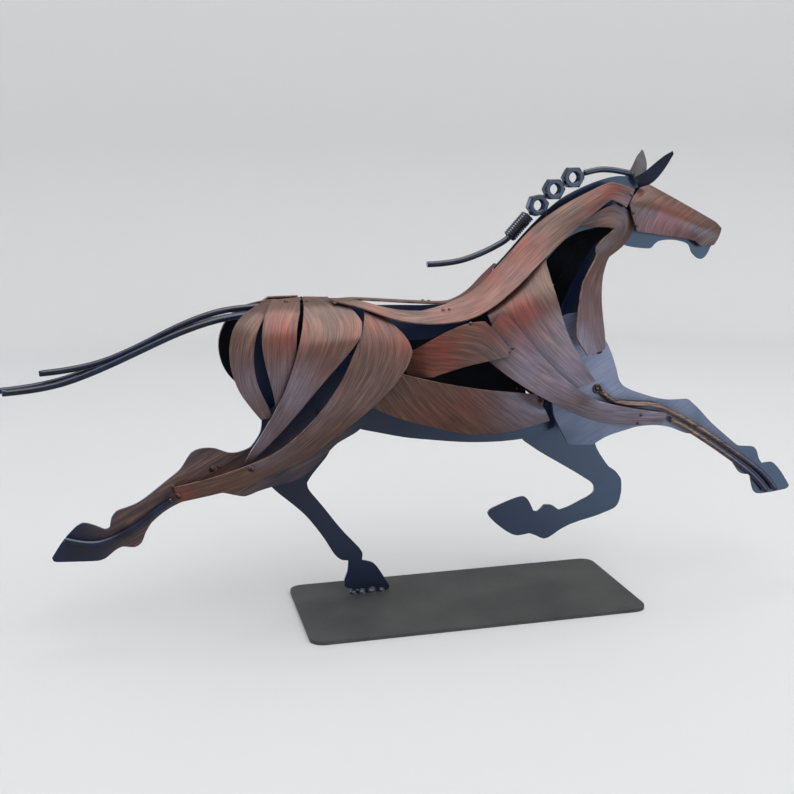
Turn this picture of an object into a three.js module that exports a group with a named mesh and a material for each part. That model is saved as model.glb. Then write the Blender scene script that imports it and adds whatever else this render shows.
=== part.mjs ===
// Galloping horse sculpture, welded up from cut and bent sheet-steel strips, with a mane of
// hex nuts, rod and a coil spring. It stands on one hind hoof on a steel base plate.
//
// Millimetres. +X runs along the base plate towards the head, +Y goes away from the near
// side and +Z is up. The origin is the middle of the base plate's underside.
import * as THREE from "three";

// ---- driving sizes -------------------------------------------------------------------------

const BASE = { length: 228, width: 102, thick: 2.5, corner: 9 };
const GAP = 0.3; // between pieces that touch, where the weld goes
const MID = 10; // the horse's middle plane, in Y, a little behind the base plate's
const FRAME = 1.6; // sheet of the middle frame
const LEG = 2; // sheet of the legs
const SHEET = 1.2; // sheet of the strips
const LAYER = 2.2; // from one strip to the one lying over it
const ROD = { radius: 2, sides: 8, steps: 14 };
const NUT = { flats: 13, hole: 6.8, thick: 6.5 }; // M8
const SPRING = { outer: 4.6, inner: 2.5, turns: 11, sides: 9 };

// how far each leg's sheet is from the middle plane
const LEG_DEPTH = { hind: { near: 13, far: 16 }, fore: { near: 16, far: 12 } };
const SIDES = { near: -1, far: 1 };

// how finely curves are cut: steps from one drawn point to the next, and strips across a sheet
const FINE = { edge: 2, length: 2, strip: 3, cheek: 4, ear: 2, ridge: 2, hole: 6, corner: 4 };

// ---- finishes ------------------------------------------------------------------------------

function finish(colour, roughness, metalness) {
  return new THREE.MeshStandardMaterial({ color: colour, roughness, metalness, side: THREE.DoubleSide });
}

const COPPER_BROWN = finish(0x7d5c50, 0.42, 0.55); // brushed over black
const NAVY = finish(0x222b45, 0.35, 0.4);
const CHARCOAL = finish(0x202125, 0.55, 0.2);

// ---- the group and its meshes ----------------------------------------------------------------

const sculpture = new THREE.Group();
const horse = new THREE.Group(); // heights in it are from the base plate's top
horse.position.z = BASE.thick;
sculpture.add(horse);

function piece(name, geometry, material, group = horse) {
  const mesh = new THREE.Mesh(geometry, material);
  mesh.name = name;
  group.add(mesh);
  return mesh;
}

// A smooth line through points of [x, z] or [x, z, y].
function smooth(points) {
  const corners = points.map(([x, z, y = 0]) => new THREE.Vector3(x, y, z));
  return new THREE.CatmullRomCurve3(corners, false, "centripetal");
}

// ---- flat sheet ------------------------------------------------------------------------------

// A cut edge is a list of runs of [x, z] points. Each run is one smooth line, or a straight
// one where it has two points. There is a corner where one run meets the next, and each run
// starts where the one before it ends.
function cutLine(runs) {
  const line = [];
  for (const run of runs) {
    const steps = run.length > 2 ? (run.length - 1) * FINE.edge : 1;
    const points = smooth(run).getPoints(steps);
    line.push(...points.slice(0, -1).map((p) => new THREE.Vector2(p.x, p.z)));
  }
  return line;
}

// A flat sheet in the X-Z plane. Its thickness is centred on middle, in Y.
function plate(name, runs, thick = FRAME, middle = MID) {
  const shape = new THREE.Shape(cutLine(runs));
  const geometry = new THREE.ExtrudeGeometry(shape, { depth: thick, bevelEnabled: false });
  geometry.rotateX(Math.PI / 2); // the drawing's y becomes z, and its thickness goes to -Y
  geometry.translate(0, middle + thick / 2, 0);
  return piece(name, geometry, NAVY);
}

// ---- bent sheet ------------------------------------------------------------------------------

// Turns rows of points into a sheet of even thickness. The rows are the inner face, and out
// is +1 where the sheet's thickness goes along (next row) x (next point), else -1.
function sheet(rows, thick, out) {
  const count = { rows: rows.length, across: rows[0].length };
  const inside = (i, size) => THREE.MathUtils.clamp(i, 0, size - 1);
  const at = (i, j) => rows[inside(i, count.rows)][inside(j, count.across)];
  const positions = [];
  for (const face of [0, 1]) {
    for (let i = 0; i < count.rows; i++) {
      for (let j = 0; j < count.across; j++) {
        const down = at(i + 1, j).clone().sub(at(i - 1, j));
        const over = at(i, j + 1).clone().sub(at(i, j - 1));
        const normal = down.cross(over).normalize();
        const point = at(i, j).clone().addScaledVector(normal, out * thick * face);
        positions.push(point.x, point.y, point.z);
      }
    }
  }
  const index = [];
  const quad = (a, b, c, d) => (out > 0 ? index.push(a, b, c, a, c, d) : index.push(a, c, b, a, d, c));
  const id = (face, i, j) => (face * count.rows + i) * count.across + j;
  const [last, edge] = [count.rows - 1, count.across - 1];
  for (let i = 0; i < last; i++) {
    for (let j = 0; j < edge; j++) {
      quad(id(1, i, j), id(1, i + 1, j), id(1, i + 1, j + 1), id(1, i, j + 1));
      quad(id(0, i, j), id(0, i, j + 1), id(0, i + 1, j + 1), id(0, i + 1, j));
    }
    quad(id(0, i, 0), id(0, i + 1, 0), id(1, i + 1, 0), id(1, i, 0));
    quad(id(0, i + 1, edge), id(0, i, edge), id(1, i, edge), id(1, i + 1, edge));
  }
  for (let j = 0; j < edge; j++) {
    quad(id(0, 0, j + 1), id(0, 0, j), id(1, 0, j), id(1, 0, j + 1));
    quad(id(0, last, j), id(0, last, j + 1), id(1, last, j + 1), id(1, last, j));
  }
  const geometry = new THREE.BufferGeometry();
  geometry.setAttribute("position", new THREE.Float32BufferAttribute(positions, 3));
  geometry.setIndex(index);
  return geometry;
}

// ---- the body that the strips wrap -------------------------------------------------------------

// Each mass is a rounded bar from one [x, z, radius, half width] to another. Together they
// are the flesh of the horse, and they say how far from the middle plane a strip lies.
const TRUNK = [
  [[-122, 158.5, 51, 36], [-70, 161.5, 47, 35]], // haunch
  [[-70, 161, 47, 35], [5, 158, 52, 37]], // barrel
  [[5, 158, 54, 37], [42, 170, 56, 36]], // shoulder
  [[42, 170, 56, 36], [95, 148, 30, 22]], // breast
  [[50, 215, 42, 24], [108, 262, 24, 12]], // neck
  [[106, 240, 14, 12], [84, 175, 22, 21]], // throat
];
const MASSES = {
  near: [...TRUNK, [[-120, 140, 46, 34], [-185, 107, 26, 17]], [[95, 148, 30, 22], [150, 122, 20, 18]]],
  far: [...TRUNK, [[-105, 150, 42, 34], [-98, 105, 24, 17]], [[80, 150, 36, 28], [88, 108, 24, 17]]],
};
const ROUND = 3; // how square the masses' sides are
const BLEND = 8; // how tightly one mass runs into the next

function massDepth([[x0, z0, r0, w0], [x1, z1, r1, w1]], x, z, grow) {
  const [dx, dz] = [x1 - x0, z1 - z0];
  const t = THREE.MathUtils.clamp(((x - x0) * dx + (z - z0) * dz) / (dx * dx + dz * dz), 0, 1);
  const reach = Math.hypot(x - x0 - t * dx, z - z0 - t * dz) / (THREE.MathUtils.lerp(r0, r1, t) + grow);
  return (THREE.MathUtils.lerp(w0, w1, t) + grow) * Math.max(0, 1 - reach ** ROUND) ** (1 / ROUND);
}

function bodyDepth(side, x, z, grow, least) {
  const depths = [...MASSES[side].map((mass) => massDepth(mass, x, z, grow)), least + grow];
  return depths.reduce((sum, d) => sum + d ** BLEND, 0) ** (1 / BLEND);
}

// ---- strips ------------------------------------------------------------------------------------

// A strip is drawn by rungs, [x, z, x, z] from long edge A to long edge B, with a smooth line
// through each edge. The other values are spread evenly along its length. layer says how many
// strips it lies over, sinkA and sinkB bring edge A and edge B in towards the middle plane,
// and least keeps it clear of a leg's sheet.
function along(values, t) {
  const place = t * (values.length - 1);
  const i = Math.min(Math.floor(place), values.length - 2);
  return values.length === 1 ? values[0] : THREE.MathUtils.lerp(values[i], values[i + 1], place - i);
}

function stripRows(side, { rungs, layer = [0], sinkA = [0], sinkB = [0], least = [2] }) {
  const edgeA = smooth(rungs.map(([x, z]) => [x, z]));
  const edgeB = smooth(rungs.map(([, , x, z]) => [x, z]));
  const steps = (rungs.length - 1) * FINE.length;
  const rows = [];
  for (let i = 0; i <= steps; i++) {
    const t = i / steps;
    const [a, b] = [edgeA.getPoint(t), edgeB.getPoint(t)];
    const row = [];
    for (let j = 0; j <= FINE.strip; j++) {
      const point = a.clone().lerp(b, j / FINE.strip);
      const sink = THREE.MathUtils.lerp(along(sinkA, t), along(sinkB, t), j / FINE.strip);
      const depth = bodyDepth(side, point.x, point.z, along(layer, t) * LAYER, along(least, t)) - sink;
      row.push(new THREE.Vector3(point.x, MID + SIDES[side] * depth, point.z));
    }
    rows.push(row);
  }
  return rows;
}

function strip(name, side, drawing) {
  const rows = stripRows(side, drawing);
  const [a, b] = [rows[0][0], rows[0].at(-1)];
  const lengthwise = rows[1][0].clone().sub(a);
  const turn = Math.sign(lengthwise.cross(b.clone().sub(a)).y); // which way the rungs run
  return piece(`${name}_${side}`, sheet(rows, SHEET, turn * SIDES[side]), COPPER_BROWN);
}

const CLEAR = 14.6; // just outside a leg's sheet

const STRIPS = {
  // haunch, from the tail forward: each lies over the one behind it
  rump_strip_1: {
    sinkA: [14, 2, 0, 0, 0, 0, 0, 0],
    sinkB: [14, 2, 0, 0, 0, 0, 0, 0],
    rungs: [
      [-131, 206.5, -121, 207.5], [-142, 202.5, -131, 201.5],
      [-150, 196, -138, 191], [-154.5, 184, -140.5, 180],
      [-154.5, 171, -140.5, 167], [-150.5, 157, -137, 155],
      [-144, 147, -133, 146.5], [-138, 139, -131, 140],
    ],
  },
  rump_strip_2: {
    layer: [1],
    sinkA: [11, 2, 0, 0, 0, 0, 0],
    sinkB: [14, 2, 0, 0, 0, 0, 0],
    rungs: [
      [-126, 208.6, -107, 209.2], [-132.5, 201, -110.8, 202],
      [-135.5, 190, -114, 192], [-135, 178, -115, 181],
      [-133, 167, -116.5, 169], [-130.5, 156, -120, 158], [-129, 147, -124.5, 148],
    ],
  },
  rump_strip_3: {
    layer: [0, 0.2, 0.8, 1.8, 2, 2, 1.6, 1, 0.3],
    sinkA: [7, 3, 1, 0, 0, 0, 0, 0, 0],
    sinkB: [11, 4, 1, 0, 0, 0, 0, 0, 0],
    least: [2, 2, 2, 3, 6, 10, CLEAR, CLEAR, CLEAR],
    rungs: [
      [-105.5, 208.4, -91, 208.2], [-107.6, 203.5, -79.5, 205],
      [-110, 195, -73, 196], [-113.5, 184, -75.5, 187.5],
      [-118.5, 169.5, -86.5, 175], [-125.5, 153.5, -101, 160],
      [-133.5, 138.5, -114.5, 144.5], [-141.5, 123.5, -127, 130], [-148, 110, -143.5, 110],
    ],
  },
  rump_strip_4: {
    layer: [0, 0.3, 1.2, 2.4, 3, 3, 2.6, 2, 1.5, 1.2],
    sinkA: [1.5, 0.5, 0, 0, 0, 0, 0, 0, 0, 0],
    sinkB: [1.5, 0.5, 0, 0, 0, 0, 0, 0, 0, 0],
    least: [2, 2, 2, 4, 8, CLEAR, CLEAR, CLEAR, CLEAR, CLEAR],
    rungs: [
      [-69.5, 203, -59, 198.8], [-73, 191, -46.5, 187], [-79, 180, -42.5, 177], [-87, 164.5, -49, 165],
      [-99.5, 147, -64, 149], [-115, 130.5, -84, 133.5], [-131, 117, -104, 118], [-150, 107.5, -127, 103.5],
      [-171, 100, -151, 92.5], [-192, 95.5, -190, 85],
    ],
  },
  // ribs, belly and shoulder
  rib_strip: {
    layer: [0, 1, 2, 2, 2],
    sinkA: [12, 1, 0, 0, 0],
    sinkB: [12, 1, 0, 0, 0],
    rungs: [
      [-45, 172, -41, 158], [-31, 182.5, -29, 160.5], [-15, 191, -12, 166.5],
      [4, 194.5, 3, 169.5], [18.5, 177.5, 18, 172],
    ],
  },
  belly_strip: {
    sinkA: [3, 0, 0, 0, 6, 16],
    sinkB: [10, 6, 6, 5, 4, 6],
    least: [4, 4, 4, 4, 10, 17.4],
    rungs: [
      [-58, 166, -67, 141.5], [-43, 161.5, -52, 134], [-20, 155.5, -26, 125.5], [5, 150.5, 2, 119],
      [28, 146.5, 30, 119], [46.5, 141, 57.5, 122.5],
    ],
  },
  shoulder_strip_upper: {
    sinkA: [6, 1, 0, 0, 0, 0],
    sinkB: [9, 0, 0, 0, 0, 0],
    least: [2, 2, 4, 10, 17.6, 17.6],
    rungs: [
      [54, 234, 17, 207], [53.5, 218, 8, 197], [56, 202, 17, 181], [61, 185, 30, 171],
      [71, 168, 46, 158], [85, 150, 66, 145],
    ],
  },
  shoulder_strip_lower: {
    layer: [1, 1, 1, 1, 1, 0.5, 0],
    least: [2, 2, 4, 10, 17.4, 17.6, 17.6],
    rungs: [
      [17, 201, -2, 177], [29, 186.5, 15, 162], [46, 167, 36, 147.5], [66, 149.5, 60, 134.5],
      [88, 136.5, 83, 123.5], [113, 128.8, 109, 116], [142, 123, 141, 116.5],
    ],
  },
  // neck
  throat_strip: {
    sinkA: [4, 2, 2, 4, 6, 6, 7, 8, 6, 2, 0],
    sinkB: [5, 2, 0, 0, 0, 0, 0, 0, 0, 0, 0],
    least: [6, 6, 7, 8, 8, 8, 10, 12, 15, 17.6, 17.6],
    rungs: [
      [76, 253.5, 78.8, 251.3], [91, 260, 89.5, 250.2], [103.6, 264.6, 98, 249.8],
      [115.8, 259, 102.3, 248.8], [120, 247, 98, 245.8],
      [111.5, 236.5, 88, 237], [101, 230.5, 88.8, 232.4], [98.3, 223.5, 85, 225.5],
      [96.3, 214, 78.5, 215], [94.8, 197, 70.7, 198], [94, 181, 68, 181], [92, 170.5, 77, 168],
    ],
  },
  back_strip: {
    layer: [1, 1, 1, 1.4, 2, 2, 2, 1.6, 1.2, 1, 1, 1],
    sinkA: [7, 3, 1, 1, 9, 10, 11, 11, 6, 4, 3, 2],
    sinkB: [4, 2, 0, 0, 0, 2, 4, 4, 3, 2, 2, 2],
    least: [3, 3, 3, 3, 4, 5, 6, 6, 6, 6, 6, 6],
    rungs: [
      [-90, 208.6, -87, 207], [-74, 208, -71, 203.5], [-53, 202.4, -54, 196.8], [-34, 201, -34, 193.2],
      [-9, 206, -8, 194.5], [9.5, 215.3, 13, 203.4], [24.5, 229.6, 36, 219.5], [44, 248.4, 58, 236.5],
      [66, 263.3, 77, 251.6], [87.5, 273.4, 92, 262], [102, 279, 101, 267.5], [117.5, 274, 111.5, 262.5],
    ],
  },
};

// On the far side the lower strips go to the legs of that side, the back strip has a shape of
// its own, and a second strip closes the neck.
const FAR_STRIPS = {
  ...STRIPS,
  rib_strip: { ...STRIPS.rib_strip, layer: [1, 1.4, 2, 2, 2] },
  rump_strip_3: {
    ...STRIPS.rump_strip_3,
    layer: [0, 0.4, 1.6, 2, 1.6, 1, 0.4],
    sinkA: [7, 1, 0, 0, 0, 0, 0],
    sinkB: [11, 1, 0, 0, 0, 0, 0],
    least: [2, 2, 2, 4, 8, CLEAR, CLEAR],
    rungs: [
      [-103.5, 208.4, -90, 207.6], [-108, 198, -78, 201], [-113.5, 182, -76, 189], [-117, 166.5, -85, 177],
      [-117, 150, -92, 160], [-113, 133, -97, 139], [-108, 116, -102, 118],
    ],
  },
  rump_strip_4: {
    ...STRIPS.rump_strip_4,
    layer: [0, 0.3, 1.2, 2.4, 2.4, 2, 1.4],
    sinkA: [1.5, 0.5, 0, 0, 0, 0, 0],
    sinkB: [1.5, 0.5, 0, 0, 0, 0, 0],
    least: [2, 2, 2, 4, 8, CLEAR, CLEAR],
    rungs: [
      [-67.5, 202, -54, 197.3], [-73, 191, -45, 187], [-79, 180, -44, 176], [-86, 163, -52, 161],
      [-93, 145, -66, 144], [-99, 127, -78, 127], [-102, 111, -88, 111],
    ],
  },
  rump_strip_1: {
    ...STRIPS.rump_strip_1,
    rungs: [
      [-131, 206.5, -121, 207.5], [-144, 201.5, -131, 201.5],
      [-151.5, 193.5, -138, 191], [-156.5, 182, -140.5, 180],
      [-156.5, 169, -140.5, 167], [-151.5, 156, -137, 155], [-142, 146, -133, 146.5], [-134, 139, -130, 140],
    ],
  },
  belly_strip: {
    ...STRIPS.belly_strip,
    rungs: [
      [-86, 170.5, -88, 146], [-56, 167, -62, 136], [-28, 157.5, -29, 126], [3, 159, 1, 119],
      [28, 156.5, 30, 119], [52, 151, 57.5, 122.5],
    ],
  },
  neck_strip: {
    layer: [2.2],
    sinkA: [3, 3, 4, 4, 3, 2, 2],
    least: [5],
    rungs: [
      [20, 203, 34, 186], [33, 217, 55, 195], [48, 233, 74, 205], [65, 249, 86, 217],
      [84, 262.5, 95, 232], [100, 269.5, 103, 246], [113, 266, 110, 256],
    ],
  },
  shoulder_strip_lower: {
    ...STRIPS.shoulder_strip_lower,
    layer: [1, 1, 1, 1, 0.5],
    least: [2, 2, 4, 10, CLEAR],
    rungs: [
      [17, 201, -2, 177], [29, 186.5, 15, 162], [48, 168, 36, 150], [68, 150, 56, 136], [86, 130, 74, 120],
    ],
  },
};

for (const [name, drawing] of Object.entries(STRIPS)) strip(name, "near", drawing);
for (const [name, drawing] of Object.entries(FAR_STRIPS)) {
  if (name !== "back_strip") strip(name, "far", drawing);
}

// ---- the middle frame ----------------------------------------------------------------------------

plate("back_plate", [
  [[-131, 204.5], [-108, 205.5], [-84, 204.5], [-66, 203], [-40, 202], [-13, 201.5], [5, 206.5], [21, 218]],
  [[21, 218], [26, 200]],
  [[26, 200], [8, 190], [-10, 181.5], [-26, 178.5], [-42, 179.5], [-64, 186], [-92, 192], [-121, 195.5]],
  [[-121, 195.5], [-117.4, 185.4], [-110.6, 174.1]],
  [[-110.6, 174.1], [-94.4, 171.3], [-69.9, 169.8]],
  [[-69.9, 169.8], [-66, 158], [-72.4, 143.4]],
  [[-72.4, 143.4], [-90, 134], [-115, 132], [-138, 140]],
  [[-138, 140], [-142, 160], [-141, 178], [-135, 195.5]],
  [[-135, 195.5], [-131, 199], [-131, 204.5]],
]);

plate("crest_plate", [
  [
    [21.5, 222.5], [32, 233], [44, 246], [56, 257.5], [69, 268],
    [84, 275.5], [98, 280.5], [110, 283], [121, 282.5],
  ],
  [[121, 282.5], [126, 277]],
  [[126, 277], [152, 265], [177, 251.5]],
  [[177, 251.5], [182.5, 246], [182.5, 238.5]],
  [[182.5, 238.5], [180, 232.5], [177, 227.5], [173.5, 225.8], [170, 227.5], [166.5, 231]],
  [[166.5, 231], [164.5, 236], [157, 238.8], [148, 239.8], [141.5, 239]],
  [[141.5, 239], [138.5, 237], [136, 234.4], [132, 234.2]],
  [[132, 234.2], [119, 236], [110, 240]],
  [[110, 240], [107, 248.5]],
  [[107, 248.5], [99, 249.3], [91, 248.3], [83, 246.5], [73, 241.5], [62.5, 231]],
  [[62.5, 231], [48, 217], [30, 204]],
  [[30, 204], [21.5, 222.5]],
]);

plate("throat_plate", [
  [[106, 239], [99, 241], [93, 235], [87, 225.5], [80, 214], [74.5, 203], [71, 194]],
  [[71, 194], [66, 180], [66, 160]],
  [[66, 160], [84, 158]],
  [[84, 158], [94, 172], [97.5, 190], [96, 206], [95, 216], [97.5, 226], [106, 235]],
  [[106, 235], [106, 239]],
]);

plate("belly_plate", [
  [
    [-71, 121], [-55, 117], [-38, 112.8], [-20, 110], [0, 107.2],
    [20, 105.8], [40, 106], [57, 108.5], [69, 114],
  ],
  [[69, 114], [66, 130]],
  [[66, 130], [44, 128], [18, 126.5], [-8, 128.5], [-34, 133], [-58, 140], [-72, 143]],
  [[-72, 143], [-71, 121]],
]);

// ---- legs ------------------------------------------------------------------------------------------

function leg(name, pair, side, runs) {
  return plate(name, runs, LEG, MID + SIDES[side] * LEG_DEPTH[pair][side]);
}

leg("hind_leg_near", "hind", "near", [
  [[-62, 137], [-76, 136], [-90, 131.5], [-99, 131.5]],
  [[-99, 131.5], [-104.4, 145.3]],
  [[-104.4, 145.3], [-112, 149.5], [-123, 145], [-135, 135]],
  [[-135, 135], [-136, 126], [-143, 116]],
  [[-143, 116], [-150, 113.5], [-157, 113.5], [-165, 117], [-174, 117.5], [-180.5, 115], [-184, 110]],
  [[-184, 110], [-188, 104.5], [-196, 98.5], [-206, 91], [-216, 84.5], [-228, 81]],
  [[-228, 81], [-231, 77.5], [-232.5, 70.5]],
  [[-232.5, 70.5], [-235.5, 69.3]],
  [[-235.5, 69.3], [-242.5, 73], [-249, 74.8], [-253, 73]],
  [[-253, 73], [-260.5, 65.5], [-268.5, 54]],
  [[-268.5, 54], [-267.5, 51.5], [-265, 50.8]],
  [[-265, 50.8], [-241, 49.3]],
  [
    [-241, 49.3], [-236, 50.8], [-230, 55.5], [-225, 57.5],
    [-218, 56.3], [-213.5, 59], [-211, 65], [-207, 71.5],
  ],
  [[-207, 71.5], [-199, 78], [-188, 83.5], [-175, 86.5], [-162, 88], [-148, 84], [-139, 87], [-122, 91]],
  [[-122, 91], [-111, 93.5], [-99, 103], [-87, 115], [-74, 121.5], [-66, 129], [-62, 137]],
]);

leg("hind_leg_far", "hind", "far", [
  [[-85, 116], [-86.5, 103], [-93, 94.5], [-99, 87.5], [-102.8, 82]],
  [
    [-102.8, 82], [-101.8, 77.3], [-97, 70.7], [-91, 62.7], [-84, 52.7],
    [-77, 43.6], [-69.5, 35], [-65.3, 29], [-66, 23.5],
  ],
  [[-66, 23.5], [-58, 21], [-53, 14.5], [-49, 7.5], [-46.6, 3.5]],
  [[-46.6, 3.5], [-46.6, GAP]],
  [[-46.6, GAP], [-57, GAP]],
  [[-57, GAP], [-78.4, 4.4]],
  [[-78.4, 4.4], [-78.2, 11.5], [-76, 17], [-75.2, 24.4]],
  [
    [-75.2, 24.4], [-80.2, 25], [-85.2, 29.8], [-90.5, 39.3],
    [-97, 49.3], [-104.5, 59.3], [-113, 67.8], [-122, 75.8],
  ],
  [[-122, 75.8], [-130, 85], [-135, 99], [-133, 117], [-123, 133], [-107, 139], [-92, 133], [-85, 116]],
]);

leg("foreleg_near", "fore", "near", [
  [[65, 191], [70, 193.5], [78, 194]],
  [[78, 194], [87, 190], [93.5, 181], [99.5, 171], [103, 163], [106, 154], [108, 147], [111, 143]],
  [[111, 143], [117, 139.7], [125, 136.7], [136, 133], [146, 131], [160, 131]],
  [[160, 131], [164, 127.5], [169, 123], [178, 113.5], [189, 104], [200.5, 94.5]],
  [[200.5, 94.5], [212.5, 93.5]],
  [[212.5, 93.5], [215, 90.5], [217, 84.5], [220, 80.5]],
  [[220, 80.5], [228, 81.2]],
  [[228, 81.2], [232.5, 77], [237.5, 70.5], [242.5, 62.8]],
  [[242.5, 62.8], [241, 60.8], [236, 59.8], [220, 58.4], [216, 59]],
  [[216, 59], [214, 62], [211, 73.3]],
  [[211, 73.3], [203.5, 74.5], [200, 78.5], [195.5, 85]],
  [[195.5, 85], [187, 91.5], [178, 98], [168, 104.8], [158, 107], [148, 111.5], [136, 114], [122, 113.8]],
  [[122, 113.8], [110, 111], [99, 108], [90, 103]],
  [[90, 103], [72, 104.2]],
  [[72, 104.2], [69, 110], [61, 125.5]],
  [[61, 125.5], [59, 145], [60.5, 170], [65, 191]],
]);

leg("foreleg_far", "fore", "far", [
  [[48, 103.5], [61, 94], [75, 85.2], [89, 76.5], [101, 68.5]],
  [[101, 68.5], [104, 65], [103, 59.5], [94, 55], [85, 51], [77.5, 49]],
  [[77.5, 49], [72, 53.3], [66, 54]],
  [[66, 54], [61.5, 49.5], [58, 50.2]],
  [[58, 50.2], [55, 57], [51.5, 61.2], [45, 60.5], [35, 57.3], [26.5, 54]],
  [[26.5, 54], [24, 51.5], [27, 46.5], [33, 40.8], [40, 35.5], [46, 33], [55, 34]],
  [[55, 34], [60.5, 31.6], [66, 28.8], [71, 30.2], [77, 34]],
  [[77, 34], [84, 37.3], [94, 40.2], [106, 42.8], [119, 47]],
  [[119, 47], [122.5, 50], [125, 60], [124.5, 69]],
  [[124.5, 69], [120, 75], [114.5, 78.8]],
  [[114.5, 78.8], [110, 85], [104, 95], [101, 110], [92, 126], [76, 131], [60, 124], [48, 103.5]],
]);

// ---- head ------------------------------------------------------------------------------------------

// The cheeks are bent plates that meet over the face, so their rungs carry depths as well:
// [x, z, depth] for the upper edge, the middle and the lower edge.
const CHEEK = [
  [[124.9, 275.2, 4], [114, 265, 12.5], [120.7, 246.4, 11]],
  [[132.2, 277.4, 3], [123.7, 263.9, 13], [130.6, 244.8, 10.5]],
  [[144, 271.6, 2.5], [139.3, 259.6, 11.5], [144.4, 242.6, 8.5]],
  [[163.3, 261.8, 2], [158.8, 251.9, 10], [160.7, 240, 7]],
  [[173.2, 256.7, 2], [167.7, 247.6, 9], [165.7, 238.6, 6.5]],
  [[179.4, 253.4, 2], [175.3, 245.3, 7.5], [171.8, 234.2, 5.5]],
  [[184.3, 250.8, 2], [182.2, 243, 5.5], [177.5, 234.2, 4.5]],
  [[188, 246.7, 2], [185.4, 241.2, 4], [182.2, 235.7, 3.5]],
];

// Rows of points across a bent plate, from its rungs of [x, z, depth].
function rungRows(side, rungs, across, lengthwise = FINE.length) {
  const placed = rungs.map((rung) => rung.map(([x, z, depth]) => [x, z, MID + SIDES[side] * depth]));
  const rails = placed[0].map((_, j) => smooth(placed.map((rung) => rung[j])));
  const steps = (rungs.length - 1) * lengthwise;
  return Array.from({ length: steps + 1 }, (_, i) => {
    const stations = rails.map((rail) => rail.getPoint(i / steps));
    return new THREE.CatmullRomCurve3(stations, false, "centripetal").getPoints(across);
  });
}

// An ear is a leaf folded along its length: front edge, fold and rear edge, from root to tip.
const EARS = {
  near: [
    [[123.5, 276.3, 3.6], [121.8, 280, 7], [120, 281.5, 4.6]],
    [[129.6, 277.6, 7], [127.5, 282.8, 11], [125.3, 284.3, 7.5]],
    [[133.4, 281.8, 11], [131.3, 287.8, 15], [129.6, 289.2, 12]],
    [[136.6, 288.8, 16], [135, 293.4, 18.7], [133.4, 293.8, 16.5]],
    [[139.9, 297.5, 20.3], [138.8, 299, 21], [137.7, 298.4, 20.3]],
  ],
  far: [
    [[123, 276, 3.6], [121.5, 281, 7], [119, 283, 4.6]],
    [[130.5, 278.5, 6], [127.5, 286, 10], [123.5, 286.5, 8]],
    [[135, 284, 9], [131.5, 290.5, 13], [127, 290.5, 11]],
    [[137.5, 292, 13], [134, 296, 17], [131.2, 295.3, 15.5]],
    [[138, 299.3, 19.5], [136.9, 300.6, 20], [135.8, 299.9, 19.5]],
  ],
};

// The far back strip lies almost flat along the top of the back, from the croup to the
// withers: near edge, middle and far edge.
const RIDGE = [
  [[-88, 207.2, 3], [-86.5, 207, 5], [-85, 206.6, 7]],
  [[-74, 207, 4], [-73, 207.2, 9], [-72, 206.6, 16]],
  [[-54, 205.3, 5], [-54, 205.7, 11], [-54, 205, 19]],
  [[-34, 203.5, 5], [-34, 203.9, 12], [-34, 203.1, 20]],
  [[-16, 202.1, 5], [-16, 202.5, 12], [-16, 201.7, 20]],
  [[-2, 202.2, 5], [-2.5, 202.4, 12], [-3, 201.6, 19]],
  [[10, 207.2, 4.5], [9.2, 207.8, 10], [9.2, 208.2, 15]],
  [[19, 216.2, 4], [18.5, 217.2, 9], [18.4, 217.8, 14]],
  [[28.5, 225.8, 3], [28, 226.4, 7], [27.5, 226.4, 12]],
];

for (const side of Object.keys(SIDES)) {
  const out = -SIDES[side];
  piece(`cheek_plate_${side}`, sheet(rungRows(side, CHEEK, FINE.cheek, 1), SHEET, out), COPPER_BROWN);
  piece(`ear_${side}`, sheet(rungRows(side, EARS[side], FINE.ear), SHEET, out), NAVY);
}
piece("back_strip_far", sheet(rungRows("far", RIDGE, FINE.ridge), SHEET, -SIDES.far), COPPER_BROWN);

// ---- rods, nuts and spring ---------------------------------------------------------------------------

// A round rod along points of [x, z, y].
function rod(name, points, material = NAVY, steps = ROD.steps) {
  const section = new THREE.Shape();
  for (let i = 0; i < ROD.sides; i++) {
    const angle = (2 * Math.PI * i) / ROD.sides;
    const corner = [ROD.radius * Math.cos(angle), ROD.radius * Math.sin(angle)];
    if (i === 0) section.moveTo(...corner);
    else section.lineTo(...corner);
  }
  const options = { steps, extrudePath: smooth(points), bevelEnabled: false };
  return piece(name, new THREE.ExtrudeGeometry(section, options), material);
}

rod("tail_rod_1", [
  [-132, 204.6, 10], [-157, 202.6, 10], [-183, 194.2, 10],
  [-208, 182.5, 10], [-233, 173, 10], [-257, 169, 10],
  [-269, 168.2, 10],
]);
rod("tail_rod_2", [
  [-132, 200.4, 7.5], [-157, 198, 6.2], [-183, 190.5, 5.4], [-208, 180, 5.4], [-233, 169.5, 5.4],
  [-257, 161.5, 5.4], [-275, 158.8, 5.4], [-291, 157.8, 5.4],
]);
rod("tail_rod_3", [
  [-132, 200.4, 12.5], [-157, 197.6, 13.8], [-183, 191, 14.6], [-208, 181, 14.6], [-233, 170.5, 14.6],
  [-257, 162.5, 14.6], [-281, 158.6, 14.6], [-299, 157.6, 14.6],
]);

// A rod bent in one plane, along points of [x, z] at the depth y.
function flatRod(name, y, points, material, steps) {
  return rod(name, points.map(([x, z]) => [x, z, y]), material, steps);
}

// Y of a rod's middle where the rod lies along the outside of a near leg.
function besideLeg(pair) {
  return MID - LEG_DEPTH[pair].near - LEG / 2 - GAP - ROD.radius;
}

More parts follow.
